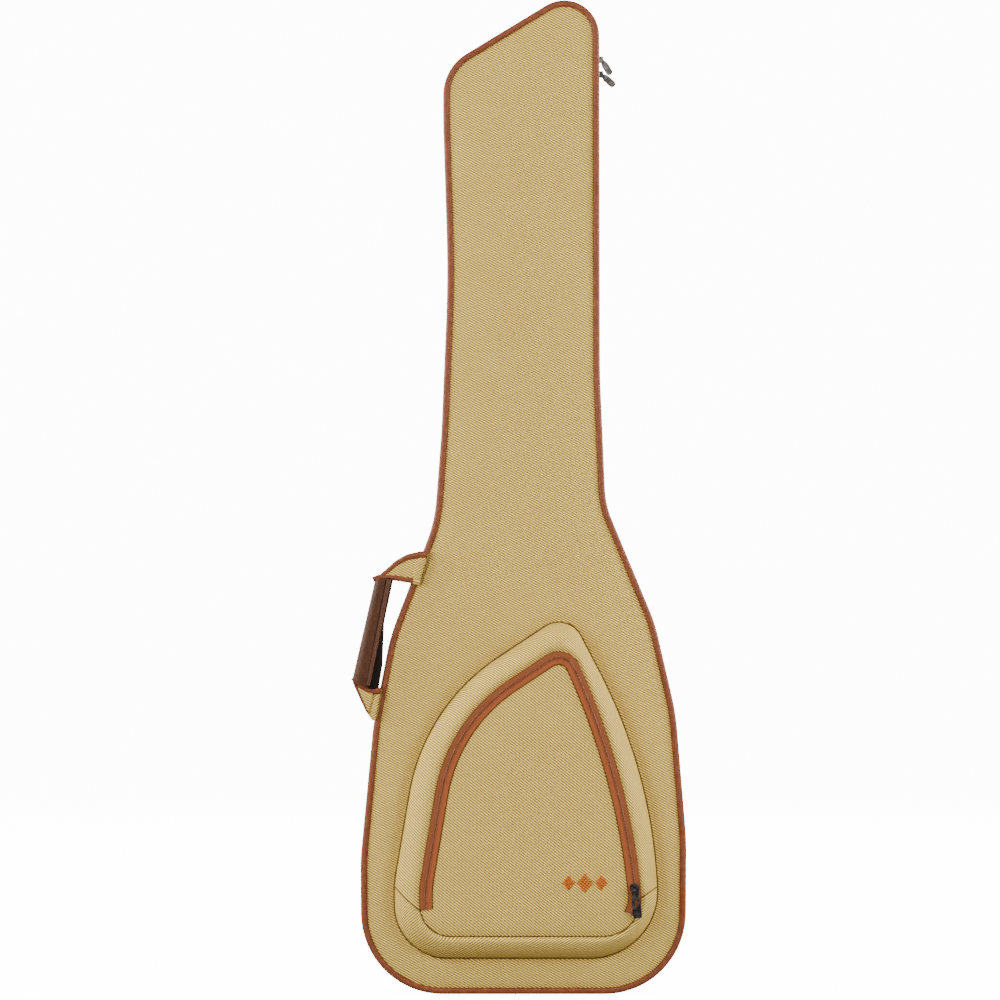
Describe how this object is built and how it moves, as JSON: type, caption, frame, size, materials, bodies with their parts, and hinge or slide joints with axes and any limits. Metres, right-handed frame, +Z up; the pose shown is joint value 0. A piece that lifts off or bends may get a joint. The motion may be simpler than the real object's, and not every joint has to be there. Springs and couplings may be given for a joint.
{
  "type": "padded bass gig bag",
  "caption": "Padded bass guitar gig bag in woven tweed with leatherette piping, zipped front, arched front pocket, side handle and shoulder straps.",
  "frame": {"origin": "on the resting plane under the flat bottom edge, below the middle of the neck, halfway through the depth of the main case", "axes": "+Z up along the bag towards the headstock end, +X to the right seen from the front, the front with the pocket faces -Y"},
  "size_m": [0.4099, 0.1528, 1.2189],
  "materials": {
    "tweed": "woven lacquered tweed",
    "foam": "closed-cell foam",
    "lining": "brushed plush",
    "piping": "satin leatherette",
    "zip_tape": "woven tape with nylon coil",
    "pocket_tape": "woven tape with nylon coil",
    "gunmetal": "gunmetal plating",
    "grip_leather": "satin leatherette",
    "strap_pad": "padded nylon with mesh",
    "webbing": "woven webbing",
    "patch": "satin leatherette",
    "buckle": "moulded acetal"
  },
  "bodies": {
    "root": {"rear_panel": "tweed", "rear_padding": "foam", "rear_lining": "lining", "rear_piping": "piping", "rear_gusset_lower": "tweed", "rear_gusset_upper": "tweed", "rear_zip_tape": "zip_tape", "side_strip": "tweed", "side_piping": "piping", "side_gusset": "tweed", "handle_tab_upper": "tweed", "handle_tab_lower": "tweed", "end_pin_block": "foam", "headstock_pad": "foam", "neck_cradle": "foam", "strap_patch_upper": "patch", "strap_patch_left": "patch", "strap_patch_right": "patch", "strap_webbing_left": "webbing", "strap_webbing_right": "webbing", "hang_loop_patch": "patch"},
    "lid": {"body_panel": "tweed", "body_padding": "foam", "body_lining": "lining", "body_piping": "piping", "body_gusset": "tweed", "body_zip_tape": "zip_tape", "pocket_border": "tweed", "pocket_lower_face": "tweed", "pocket_outer_tape": "pocket_tape"},
    "neck_cover": {"neck_panel": "tweed", "neck_padding": "foam", "neck_lining": "lining", "neck_piping": "piping", "neck_gusset": "tweed", "neck_zip_tape": "zip_tape"},
    "pocket_cover": {"pocket_inner_tape": "pocket_tape", "pocket_flap": "tweed"},
    "pocket_slider": {"pocket_slider": "gunmetal"},
    "pocket_pull": {"pocket_pull": "gunmetal"},
    "upper_slider": {"zip_slider_upper": "gunmetal"},
    "upper_pull": {"zip_pull_upper": "gunmetal"},
    "lower_slider": {"zip_slider_lower": "gunmetal"},
    "lower_pull": {"zip_pull_lower": "gunmetal"},
    "handle": {"handle_band_upper": "tweed", "handle_band_lower": "tweed", "handle_grip": "grip_leather", "grip_core": "foam"},
    "strap_left": {"shoulder_pad_left": "strap_pad", "ladder_lock_left": "buckle"},
    "strap_right": {"shoulder_pad_right": "strap_pad", "ladder_lock_right": "buckle"},
    "hang_loop": {"hang_loop": "webbing"},
    "neck_strap": {"neck_strap": "webbing"}
  },
  "joints": [
    {"name": "lid_fold", "type": "hinge", "parent": "root", "child": "lid", "pos_m": [-0.1525, -0.05, 0.359], "axis": [-0.199, 0, -0.98], "range_deg": [0, 100]},
    {"name": "neck_fold", "type": "hinge", "parent": "lid", "child": "neck_cover", "pos_m": [0, -0.05, 0.588], "axis": [1, 0, 0], "range_deg": [0, 115]},
    {"name": "pocket_fold", "type": "hinge", "parent": "lid", "child": "pocket_cover", "pos_m": [0, -0.0842, 0.093], "axis": [1, 0, 0], "range_deg": [0, 100]},
    {"name": "pocket_slider_run", "type": "hinge", "parent": "pocket_cover", "child": "pocket_slider", "pos_m": [-0.73615, -0.086, 0.03525], "axis": [0, -1, 0], "range_deg": [0, 15.5]},
    {"name": "pocket_pull_swing", "type": "hinge", "parent": "pocket_slider", "child": "pocket_pull", "pos_m": [0.13881, -0.0891, 0.12933], "axis": [-0.9943, 0, -0.107], "range_deg": [0, 100]},
    {"name": "upper_slider_run", "type": "slide", "parent": "root", "child": "upper_slider", "axis": [0, 0, -1], "range_m": [-0.018, 0]},
    {"name": "upper_pull_swing", "type": "hinge", "parent": "upper_slider", "child": "upper_pull", "pos_m": [0.0991, -0.025, 1.147], "axis": [0, -1, 0], "range_deg": [0, 90]},
    {"name": "lower_slider_run", "type": "slide", "parent": "root", "child": "lower_slider", "axis": [0.002, 0, -1], "range_m": [0, 0.335]},
    {"name": "lower_pull_swing", "type": "hinge", "parent": "lower_slider", "child": "lower_pull", "pos_m": [0.0991, -0.025, 1.129], "axis": [0, -1, 0], "range_deg": [-31, 0]},
    {"name": "handle_swing", "type": "hinge", "parent": "root", "child": "handle", "pos_m": [-0.1561, -0.0544, 0.438], "axis": [0.2926, 0, 0.9562], "range_deg": [-15, 65]},
    {"name": "strap_left_lift", "type": "hinge", "parent": "root", "child": "strap_left", "pos_m": [-0.041, 0.0614, 0.64], "axis": [1, 0, 0], "range_deg": [0, 30]},
    {"name": "strap_right_lift", "type": "hinge", "parent": "root", "child": "strap_right", "pos_m": [0.041, 0.0614, 0.64], "axis": [1, 0, 0], "range_deg": [0, 30]},
    {"name": "hang_loop_lift", "type": "hinge", "parent": "root", "child": "hang_loop", "pos_m": [0, 0.0556, 1.134], "axis": [1, 0, 0], "range_deg": [0, 90]},
    {"name": "neck_strap_lift", "type": "hinge", "parent": "root", "child": "neck_strap", "pos_m": [-0.035, 0.0035, 0.89], "axis": [0, 0, -1], "range_deg": [0, 30]}
  ],
  "couplings": [
    {"joint": "neck_fold", "follows": "lid_fold", "ratio": 1.15}
  ]
}
